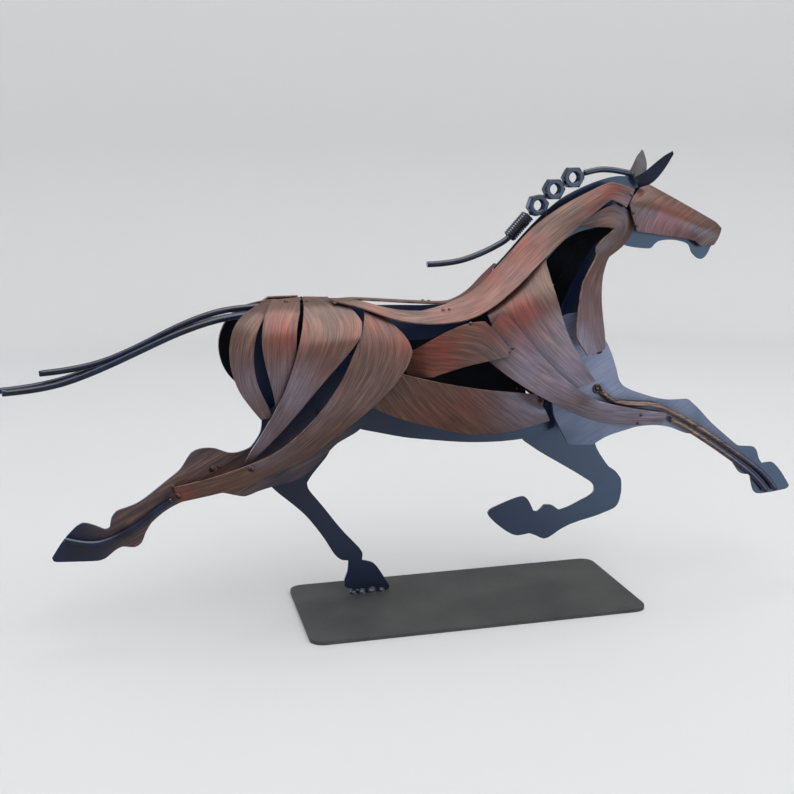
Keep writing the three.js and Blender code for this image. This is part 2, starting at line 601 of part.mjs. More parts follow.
flatRod("hind_leg_rod", besideLeg("hind"), [
  [-193.5, 86.3], [-202, 80.8], [-214, 72.4], [-227, 65.3], [-238, 61.8], [-247, 62], [-260, 65.5],
]);
flatRod("foreleg_rod_upper", besideLeg("fore"), [
  [94, 140.5], [97.5, 136.3], [104, 132.5], [116, 130.4],
  [134, 128.8], [145, 124], [165, 112.6], [186, 98.6],
  [204, 86], [219, 74.5], [226, 67], [230, 61.5],
], COPPER_BROWN, 18);
flatRod("foreleg_rod_lower", besideLeg("fore"), [
  [146, 117.6], [153, 114.4], [165, 106.8], [180, 96.8], [195, 86.2], [209, 75.6], [217, 68], [222.5, 61],
], COPPER_BROWN);
flatRod("mane_rod_front", MID, [[119.5, 284.6], [108, 286.8], [97, 287.4], [86.2, 285.2]], NAVY, 8);
flatRod("mane_rod_rear", MID, [
  [47.4, 258.5], [33, 243], [27, 239.6], [16, 234.6], [2, 230], [-12, 228.1], [-22, 227.8],
]);

// A hex nut with its bore along Y, turned in its own plane.
function nut(name, x, z, turn) {
  const corner = NUT.flats / 2 / Math.cos(Math.PI / 6);
  const shape = new THREE.Shape();
  for (let i = 0; i < 6; i++) {
    const angle = turn + Math.PI / 2 + (i * Math.PI) / 3;
    const point = [x + corner * Math.cos(angle), z + corner * Math.sin(angle)];
    if (i === 0) shape.moveTo(...point);
    else shape.lineTo(...point);
  }
  shape.holes.push(new THREE.Path().absarc(x, z, NUT.hole / 2, 0, 2 * Math.PI, true));
  const options = { depth: NUT.thick, bevelEnabled: false, curveSegments: FINE.hole };
  const geometry = new THREE.ExtrudeGeometry(shape, options);
  geometry.rotateX(Math.PI / 2);
  geometry.translate(0, MID + NUT.thick / 2, 0);
  return piece(name, geometry, NAVY);
}

nut("mane_nut_1", 78.2, 282.4, 0);
nut("mane_nut_2", 64.8, 274.9, 0);
nut("mane_nut_3", 53.6, 264.6, THREE.MathUtils.degToRad(11));

// The close-wound spring, as a tube with a ridge for each turn, around the rear mane rod.
function spring(name, from, to) {
  const [start, end] = [from, to].map(([x, z]) => new THREE.Vector3(x, MID, z));
  const length = start.distanceTo(end);
  const wire = length / SPRING.turns;
  const valley = SPRING.outer - wire / 3;
  const profile = [[SPRING.inner, length], [SPRING.inner, 0]];
  for (let i = 0; i < SPRING.turns; i++) profile.push([valley, i * wire], [SPRING.outer, (i + 0.5) * wire]);
  profile.push([valley, length], [SPRING.inner, length]);
  const geometry = new THREE.LatheGeometry(profile.map(([r, y]) => new THREE.Vector2(r, y)), SPRING.sides);
  const axis = end.sub(start).normalize();
  geometry.applyQuaternion(new THREE.Quaternion().setFromUnitVectors(new THREE.Vector3(0, 1, 0), axis));
  geometry.translate(...start.toArray());
  return piece(name, geometry, NAVY);
}

spring("mane_spring", [34.2, 244.3], [47.6, 258.7]);

// ---- base plate -----------------------------------------------------------------------------------

function basePlate() {
  const [x, y, r] = [BASE.length / 2, BASE.width / 2, BASE.corner];
  const shape = new THREE.Shape();
  shape.moveTo(-x + r, -y);
  shape.absarc(x - r, -y + r, r, -Math.PI / 2, 0, false);
  shape.absarc(x - r, y - r, r, 0, Math.PI / 2, false);
  shape.absarc(-x + r, y - r, r, Math.PI / 2, Math.PI, false);
  shape.absarc(-x + r, -y + r, r, Math.PI, 1.5 * Math.PI, false);
  const options = { depth: BASE.thick, bevelEnabled: false, curveSegments: FINE.corner };
  const geometry = new THREE.ExtrudeGeometry(shape, options);
  return piece("base_plate", geometry, CHARCOAL, sculpture);
}

basePlate();

export default sculpture;
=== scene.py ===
"""The finished pieces, materials and stage of a horse sculpture welded up from strips of sheet steel."""

import math

import bmesh
import bpy
from bpy.props import FloatProperty, FloatVectorProperty, IntProperty, PointerProperty
from mathutils import Matrix, Vector, noise
from mathutils.bvhtree import BVHTree


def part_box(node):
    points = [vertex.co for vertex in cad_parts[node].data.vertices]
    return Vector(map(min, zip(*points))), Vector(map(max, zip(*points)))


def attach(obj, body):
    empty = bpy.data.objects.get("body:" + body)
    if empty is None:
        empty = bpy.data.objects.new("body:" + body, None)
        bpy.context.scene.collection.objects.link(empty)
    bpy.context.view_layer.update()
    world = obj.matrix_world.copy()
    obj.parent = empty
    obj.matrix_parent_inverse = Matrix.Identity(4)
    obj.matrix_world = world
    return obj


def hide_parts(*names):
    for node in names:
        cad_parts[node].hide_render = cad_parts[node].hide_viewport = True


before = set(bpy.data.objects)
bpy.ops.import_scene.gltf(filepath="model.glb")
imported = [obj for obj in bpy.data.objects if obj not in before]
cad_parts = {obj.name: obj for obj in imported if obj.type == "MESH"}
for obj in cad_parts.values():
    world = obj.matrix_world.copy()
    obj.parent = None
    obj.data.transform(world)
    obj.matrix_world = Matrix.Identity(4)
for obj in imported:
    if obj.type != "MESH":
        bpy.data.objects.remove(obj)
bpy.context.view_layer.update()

bl_info = {
    "name": "Scrap metal horse",
    "version": (1, 0, 0),
    "blender": (4, 5, 0),
    "location": "View3D > Sidebar > Horse",
    "description": "Makes the finished pieces and the stage of the horse sculpture",
    "category": "Object",
}


def mm(length):
    """Millimetres as metres."""
    return length / 1000


BASE_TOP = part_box("base_plate")[1].z
MIDDLE = (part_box("crest_plate")[0].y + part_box("crest_plate")[1].y) / 2  # Y of the horse's middle plane
SIDES = {"near": -1, "far": 1}  # which way each side faces, along Y


# ---- colours and sizes that a user would change --------------------------------------------------


def linear(hex_colour):
    """An sRGB hex colour as linear red, green and blue."""
    channels = [int(hex_colour[i : i + 2], 16) / 255 for i in (1, 3, 5)]
    return tuple(c / 12.92 if c <= 0.04045 else ((c + 0.055) / 1.055) ** 2.4 for c in channels)


def colour(name, about, hex_colour):
    """A colour property."""
    return FloatVectorProperty(
        name=name, description=about, default=linear(hex_colour), subtype="COLOR", min=0, max=1
    )


def length(name, about, default):
    """A length property, from a default in millimetres."""
    return FloatProperty(name=name, description=about, default=mm(default), min=0, unit="LENGTH", precision=5)


class HorseColours(bpy.types.PropertyGroup):
    """The sculpture's paint colours, some of which stand for painted reflection, highlight and shade."""

    copper: colour("Copper brown", "Brushed paint on the strips", "#6d4c40")
    tan: colour("Tan", "Where the brushed paint is thickest", "#96735f")
    # This dark colour is also the painted shade in corners and under neighbouring pieces.
    dark_paint_and_shade: colour("Dark paint and shade", "Black paint that shows through the brushed paint", "#1c1518")
    red: colour("Red", "Touches of red on the strips", "#a8321f")
    # This lavender is a painted reflection of the blue window light, laid low on the strips.
    lavender: colour("Lavender", "Greyed paint low on the strips", "#918fa6")
    navy: colour("Navy", "Lacquer on the flat plates and rods", "#0e1f42")
    black: colour("Black", "Inner faces of the strips", "#07070b")
    # The cut edge colour is light partly for paint rubbed back to the primer and partly as a painted highlight
    # along the edge.
    edge: colour("Cut edge", "Rubbed edges of the strips", "#a98a7c")
    # This colour is a painted reflection of the blue window light on the near foreleg plate.
    foreleg: colour("Foreleg", "Pale lavender blue brushed on the near foreleg", "#8f91ad")
    charcoal: colour("Charcoal", "Powder coat on the base plate", "#4a4b4a")
    floor: colour("Floor", "Pale floor and backdrop", "#d2d2d2")


class HorseSizes(bpy.types.PropertyGroup):
    """The sculpture's finishing sizes."""

    sheet: length("Sheet", "Thickness of the strips", 1.2)
    edge_round: length("Edge round", "Rounding of the cut edges", 0.25)
    wave: length("Wave", "How far a hand-bent strip wanders", 0.18)
    wire: length("Spring wire", "Diameter of the spring's wire", 1.2)
    weld: length("Tack weld", "Radius of a small tack weld", 1.3)
    smooth_levels: IntProperty(
        name="Smoothness", description="Subdivision of the bent strips", default=2, min=1, max=3
    )


# ---- materials -----------------------------------------------------------------------------------


def add(tree, kind, inputs=None, **settings):
    """Adds a node. inputs holds socket values, or the sockets that they come from."""
    made = tree.nodes.new(kind)
    for key, value in settings.items():
        setattr(made, key, value)
    for key, value in (inputs or {}).items():
        if isinstance(value, bpy.types.NodeSocket):
            tree.links.new(value, made.inputs[key])
        else:
            made.inputs[key].default_value = value
    return made


def start_material(name, **sockets):
    """A new material and its shader, with the given values on the shader's own sockets."""
    material = bpy.data.materials.new(name)
    material.use_nodes = True
    tree = material.node_tree
    shader = tree.nodes["Principled BSDF"]
    for socket, value in sockets.items():
        shader.inputs[socket.replace("_", " ")].default_value = value
    return material, tree, shader


def mix(tree, factor, under, over):
    """One colour mixed over another."""
    made = add(tree, "ShaderNodeMix", {0: factor, 6: under, 7: over}, data_type="RGBA")
    return made.outputs[2]


def spread(tree, value, low, high, start=0.0, end=1.0):
    """A value remapped, so that low becomes start and high becomes end."""
    return add(
        tree,
        "ShaderNodeMapRange",
        {"Value": value, "From Min": low, "From Max": high, "To Min": start, "To Max": end},
    ).outputs[0]


def times(tree, a, b):
    """Two values multiplied."""
    return add(tree, "ShaderNodeMath", {0: a, 1: b}, operation="MULTIPLY").outputs[0]


def plus(tree, a, b):
    """Two values added, and kept under 1."""
    return add(tree, "ShaderNodeMath", {0: a, 1: b}, operation="ADD", use_clamp=True).outputs[0]


def streaks(tree, vector, along, across, detail=3.0):
    """Noise drawn out along the vector's first axis, with streaks of the given length and width."""
    scale = (1 / along, 1 / across, 1 / across)
    placed = add(tree, "ShaderNodeMapping", {"Vector": vector, "Scale": scale})
    return add(
        tree,
        "ShaderNodeTexNoise",
        {"Vector": placed.outputs[0], "Scale": 1.0, "Detail": detail, "Roughness": 0.6},
    ).outputs[0]


def cloud(tree, size, detail=2.0):
    """Soft noise in the object's own space, with blots of the given size."""
    place = add(tree, "ShaderNodeTexCoord").outputs["Object"]
    return add(tree, "ShaderNodeTexNoise", {"Vector": place, "Scale": 1 / size, "Detail": detail}).outputs[0]


def bump(tree, shader, height, depth, strength=1.0):
    """Raises a surface by a height pattern, by up to depth."""
    made = add(tree, "ShaderNodeBump", {"Height": height, "Distance": depth, "Strength": strength})
    tree.links.new(made.outputs[0], shader.inputs["Normal"])


def rgba(value):
    """A colour property with an alpha of 1."""
    return (*value, 1.0)


def brushed_paint(tree, colours, grain, tint):
    """The brushed paint's colour, with painted reflection and painted shade laid over it, and its fine
    streaks.
    """
    # The brush leaves hairlines well under half a millimetre. They are drawn 0.9 mm wide, so that they show.
    fine = streaks(tree, grain, mm(20), mm(0.9), 5.0)
    broad = streaks(tree, grain, mm(40), mm(2.6), 4.0)
    thin = spread(tree, fine, 0.4, 0.6)
    thick = spread(tree, broad, 0.42, 0.66)
    blots = spread(tree, cloud(tree, mm(20)), 0.38, 0.7)
    under = mix(tree, 0.6, rgba(colours.copper), rgba(colours.dark_paint_and_shade))
    paint = mix(tree, plus(tree, times(tree, thin, 0.8), 0.15), under, rgba(colours.copper))
    paint = mix(tree, times(tree, thick, plus(tree, times(tree, thin, 0.5), 0.15)), paint, rgba(colours.tan))
    paint = mix(tree, times(tree, blots, 0.2), paint, rgba(colours.dark_paint_and_shade))
    # Painted reflection: lavender laid low on the strips, where they would mirror the blue window light.
    painted_sheen = times(tree, tint["painted_sheen"], plus(tree, times(tree, thin, 0.45), 0.4))
    paint = mix(tree, painted_sheen, paint, rgba(colours.lavender))
    red = times(tree, tint["red"], plus(tree, times(tree, thin, 0.5), 0.2))
    paint = mix(tree, red, paint, rgba(colours.red))
    # Painted shade: dark paint laid in corners and under neighbouring pieces.
    paint = mix(tree, tint["dark_paint_and_shade"], paint, rgba(colours.dark_paint_and_shade))
    return paint, fine


def read_tint(tree):
    """The marks laid on a piece: red or brown paint, a painted reflection, and painted shade."""
    seen = add(tree, "ShaderNodeAttribute", attribute_name="paint_and_painted_light", attribute_type="GEOMETRY")
    parts = add(tree, "ShaderNodeSeparateColor", {"Color": seen.outputs["Color"]})
    return {"red": parts.outputs[0], "painted_sheen": parts.outputs[1], "dark_paint_and_shade": parts.outputs[2]}


def brushed_copper_brown(colours):
    """Metallic copper-brown paint brushed over black on sheet steel, under a satin lacquer.

    The brush hairs leave light and dark hairlines that run along the strip, and the black shows between
    them. The lacquer gives a soft sheen with no sharp reflections.
    """
    material, tree, shader = start_material(
        "Brushed copper-brown paint", Metallic=0.35, Coat_Weight=0.5, Coat_Roughness=0.32, Coat_IOR=1.55
    )
    grain = add(tree, "ShaderNodeUVMap", uv_map="grain").outputs[0]
    paint, fine = brushed_paint(tree, colours, grain, read_tint(tree))
    tree.links.new(paint, shader.inputs["Base Color"])
    tree.links.new(spread(tree, fine, 0.3, 0.7, 0.5, 0.36), shader.inputs["Roughness"])
    bump(tree, shader, fine, mm(0.06), 0.4)
    return material


def rubbed_edge_and_highlight(colours):
    """The sheared edge of a strip, lightened partly by paint rubbed back to the bright primer and partly as a
    painted highlight, which draws each strip's outline.
    """
    material, tree, shader = start_material("Rubbed cut edge and highlight", Metallic=0.5, Roughness=0.38)
    wear = spread(tree, cloud(tree, mm(7), 4.0), 0.35, 0.65)
    edge = mix(tree, wear, rgba(colours.copper), rgba(colours.edge))
    tree.links.new(edge, shader.inputs["Base Color"])
    return material


def black_primer(colours):
    """Matt black primer, sprayed on the inside of the strips, which looks like a shadow."""
    material, tree, shader = start_material("Black primer", Roughness=0.7, Specular_IOR_Level=0.25)
    dust = spread(tree, cloud(tree, mm(12), 4.0), 0.4, 0.8, 0, 0.25)
    tree.links.new(mix(tree, dust, rgba(colours.black), rgba(colours.navy)), shader.inputs["Base Color"])
    return material


def navy_lacquer(colours):
    """Navy lacquer sprayed on laser-cut plate, with brown paint brushed over the near hind leg and a lavender
    painted reflection on the near foreleg.

    It is smooth and semi-gloss, with the faint orange peel of spray paint, so it mirrors bright
    things softly and looks almost black elsewhere.
    """
    material, tree, shader = start_material(
        "Navy lacquer", Coat_Weight=0.6, Coat_Roughness=0.22, Coat_IOR=1.5
    )
    tint = read_tint(tree)
    place = add(tree, "ShaderNodeTexCoord").outputs["Object"]
    slant = (0, math.radians(28), 0)
    turned = add(tree, "ShaderNodeMapping", {"Vector": place, "Rotation": slant}).outputs[0]
    brown, fine = brushed_paint(tree, colours, turned, {"red": 0.0, "painted_sheen": 0.0, "dark_paint_and_shade": 0.0})
    shade = spread(tree, cloud(tree, mm(30), 3.0), 0.3, 0.7, 0.0, 0.35)
    navy = mix(tree, shade, rgba(colours.navy), rgba(colours.black))
    brushed = spread(tree, fine, 0.3, 0.55, 0.6, 1.0)
    paint = mix(tree, times(tree, tint["red"], brushed), navy, brown)
    # Painted reflection: the pale lavender blue of the window light on the near foreleg.
    paint = mix(tree, times(tree, tint["painted_sheen"], brushed), paint, rgba(colours.foreleg))
    # Painted shade: black laid in corners and under neighbouring pieces.
    tree.links.new(mix(tree, tint["dark_paint_and_shade"], paint, rgba(colours.black)), shader.inputs["Base Color"])
    tree.links.new(spread(tree, tint["red"], 0, 1, 0.34, 0.5), shader.inputs["Roughness"])
    bump(tree, shader, cloud(tree, mm(1.6), 1.0), mm(0.05), 0.35)
    return material


def charcoal_powder_coat(colours):
    """Charcoal powder coat baked on steel plate: matt, with a fine grit that scatters the light."""
    material, tree, shader = start_material("Charcoal powder coat", Specular_IOR_Level=0.4)
    # The real grit is about 0.2 mm. It is drawn at 0.8 mm, so that it shows.
    grit = cloud(tree, mm(0.8), 2.0)
    worn = spread(tree, cloud(tree, mm(40), 3.0), 0.35, 0.7, 0.0, 0.3)
    coat = mix(tree, worn, rgba(colours.charcoal), rgba(colours.black))
    tree.links.new(coat, shader.inputs["Base Color"])
    tree.links.new(spread(tree, grit, 0.3, 0.7, 0.42, 0.58), shader.inputs["Roughness"])
    bump(tree, shader, grit, mm(0.05), 0.5)
    return material


def gloss_navy(colours):
    """Navy enamel dipped on rod, nuts and spring: glossy and thick, so edges have bright thin glints."""
    material, tree, shader = start_material(
        "Gloss navy enamel", Roughness=0.26, Coat_Weight=0.7, Coat_Roughness=0.12, Coat_IOR=1.5
    )
    shade = spread(tree, cloud(tree, mm(9), 3.0), 0.35, 0.7)
    tree.links.new(mix(tree, shade, rgba(colours.navy), rgba(colours.black)), shader.inputs["Base Color"])
    bump(tree, shader, cloud(tree, mm(2.2), 2.0), mm(0.06), 0.4)
    return material


def dull_grey(colours):
    """Thin olive-grey undercoat, sprayed matt, with darker patches where it is worn."""
    material, tree, shader = start_material("Dull grey undercoat", Roughness=0.55, Specular_IOR_Level=0.4)
    worn = spread(tree, cloud(tree, mm(8), 3.0), 0.35, 0.7, 0.0, 0.5)
    grey = mix(tree, 0.1, rgba(colours.charcoal), rgba(colours.edge))
    tree.links.new(mix(tree, worn, grey, rgba(colours.navy)), shader.inputs["Base Color"])
    bump(tree, shader, cloud(tree, mm(1.4), 2.0), mm(0.04), 0.4)
    return material


def rod_brown(colours):
    """Copper-brown paint brushed thinly on the leg rods, gone navy near the hoof."""
    material, tree, shader = start_material(
        "Brushed rod paint", Metallic=0.3, Roughness=0.34, Coat_Weight=0.5
    )
    place = add(tree, "ShaderNodeTexCoord").outputs["Object"]
    height = add(tree, "ShaderNodeSeparateXYZ", {"Vector": place}).outputs[2]
    covered = spread(tree, height, mm(78), mm(112), 0.15, 1.0)
    fine = spread(tree, streaks(tree, place, mm(20), mm(1)), 0.35, 0.65)
    brown = mix(tree, fine, rgba(colours.dark_paint_and_shade), rgba(colours.tan))
    tree.links.new(mix(tree, covered, rgba(colours.navy), brown), shader.inputs["Base Color"])
    return material


def weld_metal(colours):
    """Weld metal under the paint, brushed brown on top: lumpy, with a bright crown and a dark root."""
    material, tree, shader = start_material("Painted weld", Metallic=0.4, Roughness=0.36, Coat_Weight=0.5)
    blots = spread(tree, cloud(tree, mm(2.5), 3.0), 0.35, 0.65)
    tree.links.new(mix(tree, blots, rgba(colours.dark_paint_and_shade), rgba(colours.copper)), shader.inputs["Base Color"])
    bump(tree, shader, cloud(tree, mm(1.2), 2.0), mm(0.1), 0.5)
    return material


PAINT_NAMES = {}


def paint_of(maker):
    """The finished material that a function makes, made once."""
    known = bpy.data.materials.get(PAINT_NAMES.get(maker, ""))
    if known:
        return known
    made = maker(bpy.context.scene.horse_colours)
    PAINT_NAMES[maker] = made.name
    return made


# ---- shaping helpers -----------------------------------------------------------------------------


def merged_copy(node):
    """A CAD node's mesh as a bmesh, with its loose triangles joined up."""
    bm = bmesh.new()
    bm.from_mesh(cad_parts[node].data)
    bmesh.ops.remove_doubles(bm, verts=bm.verts, dist=mm(0.01))
    return bm


def finished(name, bm, slots, *nodes):
    """Makes a bmesh a piece that stands for the given nodes and moves with the sculpture."""
    mesh = bpy.data.meshes.new(name)
    bm.to_mesh(mesh)
    bm.free()
    mesh.polygons.foreach_set("use_smooth", [True] * len(mesh.polygons))
    for material in slots:
        mesh.materials.append(material)
    piece = bpy.data.objects.new(name, mesh)
    bpy.context.scene.collection.objects.link(piece)
    if nodes:
        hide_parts(*nodes)
    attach(piece, "root")
    return piece


def bake_modifiers(piece):
    """Swaps a piece's mesh for the one that its modifiers make, and drops the modifiers."""
    depsgraph = bpy.context.evaluated_depsgraph_get()
    made = bpy.data.meshes.new_from_object(piece.evaluated_get(depsgraph), depsgraph=depsgraph)
    piece.modifiers.clear()
    piece.data = made


def soften(piece, width, angle=math.radians(40), segments=2):
    """Rounds a piece's sharp edges and keeps its flats flat."""
    bevel = piece.modifiers.new("Rounded edges", "BEVEL")
    bevel.width, bevel.segments, bevel.limit_method, bevel.angle_limit = width, segments, "ANGLE", angle
    bevel.use_clamp_overlap = True
    piece.modifiers.new("Flat faces", "WEIGHTED_NORMAL").keep_sharp = False


def flood(faces, sharpest):
    """Faces as sets that run into each other, where no set crosses a sharp edge."""
    left, skins = set(faces), []
    while left:
        todo = [left.pop()]
        skin = set(todo)
        while todo:
            for edge in todo.pop().edges:
                for face in edge.link_faces:
                    if face in left and edge.calc_face_angle(math.pi) < sharpest:
                        left.remove(face)
                        skin.add(face)
                        todo.append(face)
        skins.append(skin)
    return skins


def outwards(point):
    """How far out from the middle plane a point is, and how far up, which counts for half."""
    return abs(point.y - MIDDLE) + point.z / 2


def keep_corners(bm, sharpest=math.radians(20)):
    """Creases an open sheet's outline where it turns, so that smoothing leaves its corners alone."""
    crease = bm.verts.layers.float.new("crease_vert")
    for vert in bm.verts:
        rim = [e.other_vert(vert).co - vert.co for e in vert.link_edges if e.is_boundary]
        if len(rim) == 2 and math.pi - rim[0].angle(rim[1]) > sharpest:
            vert[crease] = 1.0


def join_into_quads(bm):
    """Joins a sheet's triangles into its grid of quads, which all have their diagonals one way."""
    corner = next(v for v in bm.verts if len(v.link_faces) == 1)
    first = corner.link_faces[0]
    diagonals = {first: next(e for e in first.edges if corner not in e.verts)}
    todo = [first]
    while todo:
        face = todo.pop()
        slant = diagonals[face]
        for edge in face.edges:
            for over in edge.link_faces:
                if over in diagonals:
                    continue
                if edge == slant:
                    diagonals[over] = slant
                else:
                    free = next(v for v in edge.verts if v not in slant.verts)
                    far = next(v for v in over.verts if v not in edge.verts)
                    diagonals[over] = next(e for e in over.edges if free in e.verts and far in e.verts)
                todo.append(over)
    slants = [e for e in bm.edges if e in set(diagonals.values())]
    bmesh.ops.dissolve_edges(bm, edges=slants, use_verts=False)


def faces_of_sheet(bm):
    """A bent sheet's two faces, without its rim, which has two triangles to each edge of a face."""
    for degrees in (60, 50, 45, 40, 35, 30):
        for skin in flood(bm.faces, math.radians(degrees)):
            rim = sum(any(f not in skin for f in edge.link_faces) for face in skin for edge in face.edges)
            if len(bm.faces) == 2 * (len(skin) + rim):
                corners = {v for face in skin for v in face.verts}
                return skin, {face for face in bm.faces if corners.isdisjoint(face.verts)}
    raise ValueError("the sheet's faces can't be told from its rim")


def outer_face_of_sheet(node):
    """A bent sheet's outer face, as a grid of quads."""
    bm = merged_copy(node)
    skins = faces_of_sheet(bm)
    outer = max(skins, key=lambda skin: sum(outwards(f.calc_center_median()) for f in skin) / len(skin))
    bmesh.ops.delete(bm, geom=[f for f in bm.faces if f not in outer], context="FACES")
    join_into_quads(bm)
    return bm


def boundary_walk(start, first):
    """The boundary's vertices from a corner to the next, going out along the edge first."""
    path, edge, vert = [start], first, start
    while True:
        vert = edge.other_vert(vert)
        path.append(vert)
        if len(vert.link_edges) == 2:
            return path
        edge = next(e for e in vert.link_edges if e.is_boundary and e is not edge)


def rungs(bm):
    """A sheet's vertices in rows from one end to the other, each row from edge to edge."""
    corner = next(v for v in bm.verts if len(v.link_edges) == 2)
    row = min((boundary_walk(corner, edge) for edge in corner.link_edges), key=len)
    rows, seen = [], set()
    while row:
        rows.append(row)
        seen.update(row)
        row = [e.other_vert(v) for v in row for e in v.link_edges if e.other_vert(v) not in seen]
    return rows


def lay_grain(bm, degrees):
    """Gives a sheet a UV map in metres, along and across it, turned by the way it was brushed."""
    rows = rungs(bm)
    flat, travelled = {}, 0.0
    for before, row in zip([rows[0], *rows], rows):
        travelled += sum((a.co - b.co).length for a, b in zip(before, row)) / len(row)
        width = (row[0].co - row[-1].co).length
        for j, vert in enumerate(row):
            flat[vert] = Vector((travelled, width * (j / max(len(row) - 1, 1) - 0.5)))
    turn = Matrix.Rotation(math.radians(degrees), 2)
    grain = bm.loops.layers.uv.new("grain")
    for face in bm.faces:
        for loop in face.loops:
            loop[grain].uv = turn @ flat[loop.vert]


def cad_surface(without=None):
    """The CAD nodes' surface as one, to feel for neighbours with."""
    verts, faces = [], []
    for part in [part for node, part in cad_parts.items() if node != without]:
        first = len(verts)
        verts += [v.co for v in part.data.vertices]
        faces += [[first + i for i in p.vertices] for p in part.data.polygons]
    return BVHTree.FromPolygons(verts, faces)


SURFACE = cad_surface()
FEELERS = [  # directions over a hemisphere around +Z, to feel for what shades a point
    Vector((math.cos(a) * math.sin(t), math.sin(a) * math.sin(t), math.cos(t)))
    for t, count in ((0.5, 4), (0.95, 6), (1.3, 8))
    for a in (2 * math.pi * i / count for i in range(count))
]


def shelter(others, point, normal, reach=mm(12), lift=mm(0.5)):
    """How much of the space over a point has another piece close by, from 0 to 1."""
    turn = normal.to_track_quat("Z", "Y")
    start = point + normal * lift
    hits = [others.ray_cast(start, turn @ feeler, reach)[3] for feeler in FEELERS]
    return sum(1 - hit / reach for hit in hits if hit is not None) / len(FEELERS)


# Marks of paint, and of painted reflection where so named: X and height over the base plate in mm, radius in
# mm, and strength.
RED_TOUCHES = (
    (-120, 191, 11, 0.75), (-103, 184, 7, 0.4), (-66, 198, 10, 0.55), (-47, 186, 9, 0.6), (-78, 191, 7, 0.35),
    (-94, 161, 7, 0.4), (-27, 176, 12, 0.85), (-13, 188, 8, 0.4), (-27, 133, 16, 0.3), (-8, 139, 15, 0.3),
    (-14, 205, 13, 0.4), (2, 200, 12, 0.5), (-187, 90, 4.5, 0.9), (-148, 86, 9, 0.35), (-166, 108, 7, 0.3),
    (28, 198, 10, 1.0), (15, 194, 9, 0.7), (34, 186, 12, 0.45), (37, 239, 12, 0.65), (17, 223, 11, 0.55),
    (98, 274, 7, 0.7), (88, 268, 7, 0.5), (141, 252, 11, 0.65), (150, 250, 10, 0.6), (124, 273, 6, 0.45),
    (84, 215, 7, 0.3), (86, 194, 7, 0.25), (60, 158, 14, 0.2),
)
# Patches of painted reflection, where the strips would mirror the blue window light.
PAINTED_SHEEN_SPOTS = (
    (-118, 156, 16, 0.6), (-144, 160, 13, 0.5), (-138, 124, 13, 0.6), (-128, 140, 13, 0.4),
    (42, 130, 18, 0.6), (100, 126, 28, 0.85), (66, 148, 18, 0.5), (84, 182, 18, 0.5), (30, 165, 14, 0.25),
)
BROWN_ON_HIND_LEG = (  # where the near hind leg is brushed brown over the navy
    (-168, 104, 20, 1.0), (-185, 98, 16, 1.0), (-150, 90, 16, 0.9), (-203, 82, 14, 1.0), (-220, 74, 14, 1.0),
    (-215, 62, 12, 0.9), (-229, 74, 9, 0.8), (-110, 104, 14, 0.7), (-92, 118, 14, 0.5),
)
# Painted reflection of the blue window light on the near foreleg plate.
PAINTED_SHEEN_ON_FORELEG = (
    (72, 188, 20, 0.8), (85, 172, 24, 0.9), (84, 150, 26, 0.9), (98, 134, 22, 0.9), (125, 126, 18, 0.8),
    (150, 120, 15, 0.65), (172, 110, 13, 0.45), (188, 98, 12, 0.25),
)
PAINT_AND_SHEEN_ON_PLATES = {"hind_leg_near": (BROWN_ON_HIND_LEG, ()), "foreleg_near": ((), PAINTED_SHEEN_ON_FORELEG)}
RAGGED = {"share": 0.35, "scale": 90, "reach": 1.25}  # how a patch, of paint and of painted reflection alike, frays and fades out
PAINTED_SHADE_GAIN = 1.9  # how fast the painted shade darkens under a neighbouring piece


def touch(spots, point):
    """The strongest of some marks, of paint and of painted reflection alike, at a point, with a ragged edge.
    """
    x, z = point.x * 1000, (point.z - BASE_TOP) * 1000
    rag = 1 + RAGGED["share"] * noise.noise(point * RAGGED["scale"])
    strengths = []
    for spot_x, spot_z, radius, strength in spots:
        away = (x - spot_x) ** 2 + (z - spot_z) ** 2
        strengths.append(strength * math.exp(-(away / (radius * rag * RAGGED["reach"]) ** 2)))
    return max(strengths, default=0.0)


def lay_paint_and_light(mesh, node, first, painted_sheen, dark_paint_and_shade=1.0):
    """Stores the marks on a node's finished mesh: red or brown paint, a painted reflection, and painted shade
    where other pieces are close.
    """
    others = cad_surface(without=node)
    layer = mesh.attributes.new("paint_and_painted_light", "FLOAT_COLOR", "POINT")
    for vert, stored in zip(mesh.vertices, layer.data):
        # Painted shade, darker where other pieces crowd over a point.
        dark = min(1.0, shelter(others, vert.co, vert.normal) * PAINTED_SHADE_GAIN) * dark_paint_and_shade
        stored.color = (touch(first, vert.co), touch(painted_sheen, vert.co), dark, 1)


# ---- bent sheet ----------------------------------------------------------------------------------

WAVE_SCALE = 38  # waves to the metre, along and across a hand-bent strip


def finish_sheet(sizes, node, slots, grain=0):
    """Makes a bent sheet from its CAD node: smooth, a little wavy, and rounded at its cut edges."""
    bm = outer_face_of_sheet(node)
    lay_grain(bm, grain)
    keep_corners(bm)
    piece = finished(node.replace("_near", "_finish_near").replace("_far", "_finish_far"), bm, slots, node)
    smooth = piece.modifiers.new("Smooth bend", "SUBSURF")
    smooth.levels = smooth.render_levels = sizes.smooth_levels
    bake_modifiers(piece)
    for vert in piece.data.vertices:
        vert.co += vert.normal * sizes.wave * noise.noise(vert.co * WAVE_SCALE)
    lay_paint_and_light(piece.data, node, RED_TOUCHES, PAINTED_SHEEN_SPOTS)
    wall = piece.modifiers.new("Sheet thickness", "SOLIDIFY")
    wall.thickness, wall.offset, wall.use_even_offset = sizes.sheet, -1, False
    wall.material_offset, wall.material_offset_rim = 1, 2
    soften(piece, sizes.edge_round)


